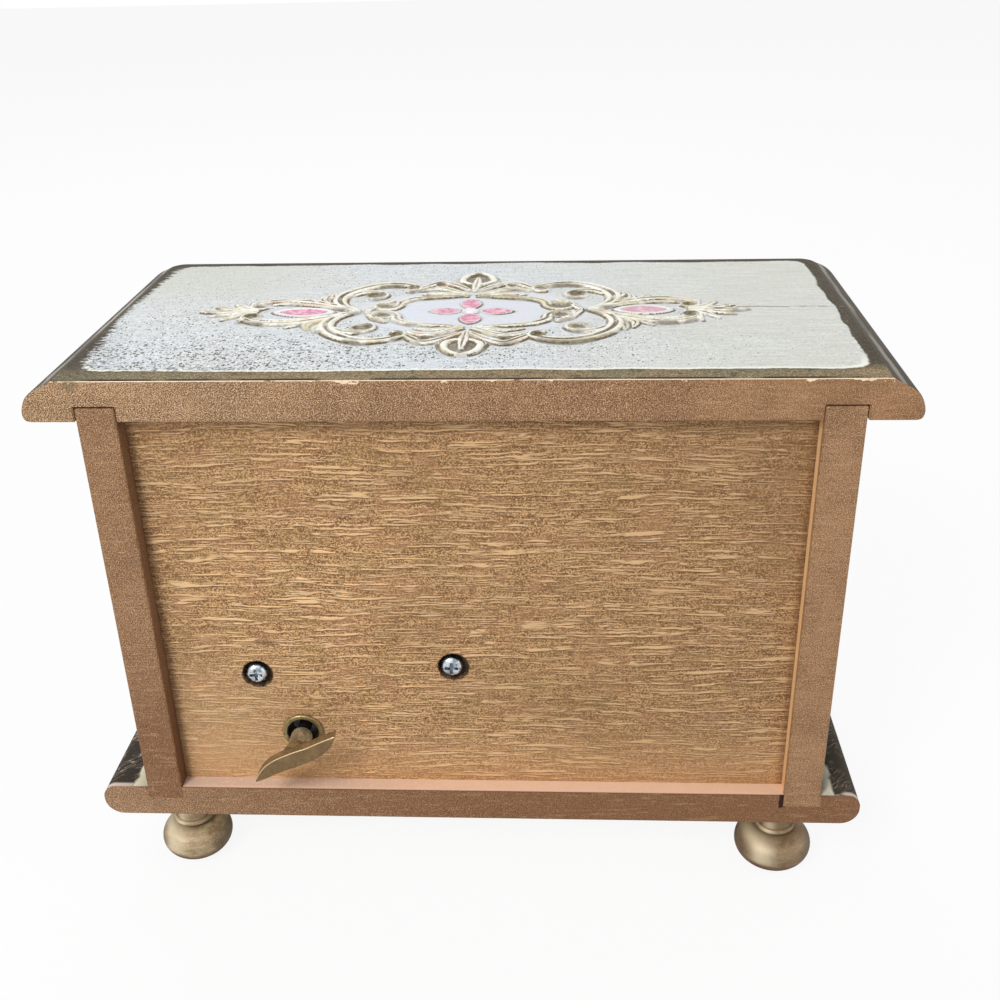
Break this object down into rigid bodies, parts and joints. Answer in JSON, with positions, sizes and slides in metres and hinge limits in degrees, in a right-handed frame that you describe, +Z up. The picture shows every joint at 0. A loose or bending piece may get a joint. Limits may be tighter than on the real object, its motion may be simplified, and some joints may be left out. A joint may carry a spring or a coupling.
{
  "type": "musical jewelry box",
  "caption": "Painted wooden jewelry box on bun feet with small drawers, a carved ornament on its top and a wind-up comb music movement keyed from the back.",
  "frame": {"origin": "on the floor, under the middle of the whole object", "axes": "+X right and +Z up as seen from the drawer fronts, +Y towards the back with the key"},
  "size_m": [0.1764, 0.0984, 0.128],
  "materials": {
    "cream_paint": "worn eggshell paint on wood",
    "gilt_relief": "painted and gilded low relief",
    "case_paint": "worn eggshell paint on wood",
    "gold_panel": "gold painted plywood",
    "foot_gilding": "gold painted turned wood",
    "bare_wood": "unpainted wood",
    "lining": "short pile velvet on card",
    "brass": "aged brass",
    "steel": "bright steel",
    "zinc_plate": "bright zinc plated steel",
    "cast_zinc": "grey cast metal",
    "nylon": "moulded nylon"
  },
  "bodies": {
    "case": {"base_board": "case_paint", "side_panel_left": "case_paint", "side_panel_right": "case_paint", "back_panel": "gold_panel", "drawer_shelf": "bare_wood", "drawer_upright": "bare_wood", "top_board": "cream_paint", "top_relief": "gilt_relief", "foot_front_left": "foot_gilding", "foot_front_right": "foot_gilding", "foot_back_left": "foot_gilding", "foot_back_right": "foot_gilding", "key_eyelet": "brass", "movement_screws": "zinc_plate", "bedplate": "cast_zinc", "barrel_bridge": "steel", "comb": "steel", "governor_frame": "cast_zinc", "small_screws": "zinc_plate"},
    "winding": {"winding_arbor": "steel", "winding_key": "brass"},
    "barrel": {"spring_barrel": "steel", "crown_wheel": "steel", "mainspring": "steel"},
    "cylinder": {"cylinder_shaft": "steel", "cylinder_pinion": "brass", "pin_cylinder": "brass", "cylinder_gear": "brass"},
    "governor": {"governor_shaft": "steel", "governor_pinion": "steel", "worm_wheel": "nylon"},
    "fly": {"worm_shaft": "steel", "governor_fly": "nylon"},
    "stop_lever": {"stop_lever": "steel"},
    "upper_left_drawer": {"upper_left_drawer_front": "case_paint", "upper_left_drawer_left_side": "bare_wood", "upper_left_drawer_right_side": "bare_wood", "upper_left_drawer_back": "bare_wood", "upper_left_drawer_bottom": "bare_wood", "upper_left_drawer_lining": "lining", "upper_left_drawer_knob": "brass", "upper_left_drawer_knob_screw": "zinc_plate"},
    "upper_right_drawer": {"upper_right_drawer_front": "case_paint", "upper_right_drawer_left_side": "bare_wood", "upper_right_drawer_right_side": "bare_wood", "upper_right_drawer_back": "bare_wood", "upper_right_drawer_bottom": "bare_wood", "upper_right_drawer_lining": "lining", "upper_right_drawer_knob": "brass", "upper_right_drawer_knob_screw": "zinc_plate"},
    "lower_drawer": {"lower_drawer_front": "case_paint", "lower_drawer_left_side": "bare_wood", "lower_drawer_right_side": "bare_wood", "lower_drawer_back": "bare_wood", "lower_drawer_bottom": "bare_wood", "lower_drawer_lining": "lining", "lower_drawer_left_knob": "brass", "lower_drawer_right_knob": "brass", "lower_drawer_knob_screws": "zinc_plate"}
  },
  "joints": [
    {"name": "upper_left_drawer_slide", "type": "slide", "parent": "case", "child": "upper_left_drawer", "axis": [0, -1, 0], "range_m": [0, 0.05]},
    {"name": "upper_right_drawer_slide", "type": "slide", "parent": "case", "child": "upper_right_drawer", "axis": [0, -1, 0], "range_m": [0, 0.05]},
    {"name": "lower_drawer_slide", "type": "slide", "parent": "case", "child": "lower_drawer", "axis": [0, -1, 0], "range_m": [0, 0.032]},
    {"name": "winding_turn", "type": "hinge", "parent": "case", "child": "winding", "pos_m": [0.0402, 0.03465, 0.04], "axis": [0, 1, 0], "continuous": true},
    {"name": "barrel_turn", "type": "hinge", "parent": "case", "child": "barrel", "pos_m": [0.0402, 0.03465, 0.04], "axis": [0, 1, 0], "continuous": true},
    {"name": "cylinder_turn", "type": "hinge", "parent": "case", "child": "cylinder", "pos_m": [0.0402, 0.02045, 0.04], "axis": [1, 0, 0], "continuous": true},
    {"name": "governor_turn", "type": "hinge", "parent": "case", "child": "governor", "pos_m": [0.0402, 0.02045, 0.0491], "axis": [1, 0, 0], "continuous": true},
    {"name": "fly_turn", "type": "hinge", "parent": "case", "child": "fly", "pos_m": [0.0008, 0.02045, 0.05355], "axis": [0, 1, 0], "continuous": true},
    {"name": "stop_lever_swing", "type": "hinge", "parent": "case", "child": "stop_lever", "pos_m": [0.0008, 0.01199, 0.05855], "axis": [1, 0, 0], "range_deg": [0, 6]}
  ],
  "couplings": [
    {"joint": "cylinder_turn", "follows": "barrel_turn", "ratio": 2.6667},
    {"joint": "governor_turn", "follows": "barrel_turn", "ratio": -11.2},
    {"joint": "fly_turn", "follows": "barrel_turn", "ratio": -168},
    {"joint": "stop_lever_swing", "follows": "lower_drawer_slide", "rad_per_m": 3.27}
  ]
}
